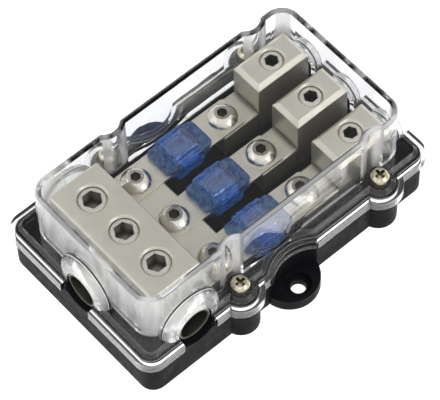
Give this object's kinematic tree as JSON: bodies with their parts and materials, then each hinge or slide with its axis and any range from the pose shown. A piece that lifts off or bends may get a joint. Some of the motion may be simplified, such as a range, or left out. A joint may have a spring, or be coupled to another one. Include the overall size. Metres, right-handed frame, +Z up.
{
  "type": "power distribution block",
  "caption": "Fused power distribution block with a black base, clear screw-down cover, plated bus block with wire ports, and blue bolt-down fuses feeding output terminals.",
  "frame": {"origin": "centre of the base's underside, under the middle of the whole block", "axes": "+X from the input end to the output end, +Z up out of the base, +Y across the block"},
  "size_m": [0.1116, 0.0794, 0.0385],
  "materials": {
    "black_plastic": "satin moulded",
    "clear_plastic": "clear polished",
    "plated_metal": "satin nickel plate",
    "screw_steel": "nickel-plated steel",
    "fuse_metal": "bright plated strip",
    "blue_plastic": "translucent moulded"
  },
  "bodies": {
    "block": {"base": "black_plastic", "cover": "clear_plastic", "input_block": "plated_metal", "output_terminal_back": "plated_metal", "fuse_element_back": "fuse_metal", "fuse_body_back": "blue_plastic", "fuse_screw_input_back": "screw_steel", "fuse_screw_output_back": "screw_steel", "output_terminal_middle": "plated_metal", "fuse_element_middle": "fuse_metal", "fuse_body_middle": "blue_plastic", "fuse_screw_input_middle": "screw_steel", "fuse_screw_output_middle": "screw_steel", "output_terminal_front": "plated_metal", "fuse_element_front": "fuse_metal", "fuse_body_front": "blue_plastic", "fuse_screw_input_front": "screw_steel", "fuse_screw_output_front": "screw_steel", "cover_screw_1": "screw_steel", "cover_screw_2": "screw_steel", "cover_screw_3": "screw_steel", "cover_screw_4": "screw_steel", "terminal_screw_1": "screw_steel", "terminal_screw_2": "screw_steel", "terminal_screw_3": "screw_steel", "terminal_screw_4": "screw_steel", "terminal_screw_5": "screw_steel"},
    "input_set_screw_back_body": {"input_set_screw_back": "screw_steel"},
    "input_set_screw_middle_body": {"input_set_screw_middle": "screw_steel"},
    "input_set_screw_front_body": {"input_set_screw_front": "screw_steel"},
    "output_set_screw_back_body": {"output_set_screw_back": "screw_steel"},
    "output_set_screw_middle_body": {"output_set_screw_middle": "screw_steel"},
    "output_set_screw_front_body": {"output_set_screw_front": "screw_steel"}
  },
  "joints": [
    {"name": "input_set_screw_back_travel", "type": "slide", "parent": "block", "child": "input_set_screw_back_body", "axis": [0, 0, 1], "range_m": [-0.006, 0.003]},
    {"name": "input_set_screw_middle_travel", "type": "slide", "parent": "block", "child": "input_set_screw_middle_body", "axis": [0, 0, 1], "range_m": [-0.006, 0.003]},
    {"name": "input_set_screw_front_travel", "type": "slide", "parent": "block", "child": "input_set_screw_front_body", "axis": [0, 0, 1], "range_m": [-0.006, 0.003]},
    {"name": "output_set_screw_back_travel", "type": "slide", "parent": "block", "child": "output_set_screw_back_body", "axis": [0, 0, 1], "range_m": [-0.0045, 0.003]},
    {"name": "output_set_screw_middle_travel", "type": "slide", "parent": "block", "child": "output_set_screw_middle_body", "axis": [0, 0, 1], "range_m": [-0.0045, 0.003]},
    {"name": "output_set_screw_front_travel", "type": "slide", "parent": "block", "child": "output_set_screw_front_body", "axis": [0, 0, 1], "range_m": [-0.0045, 0.003]}
  ]
}
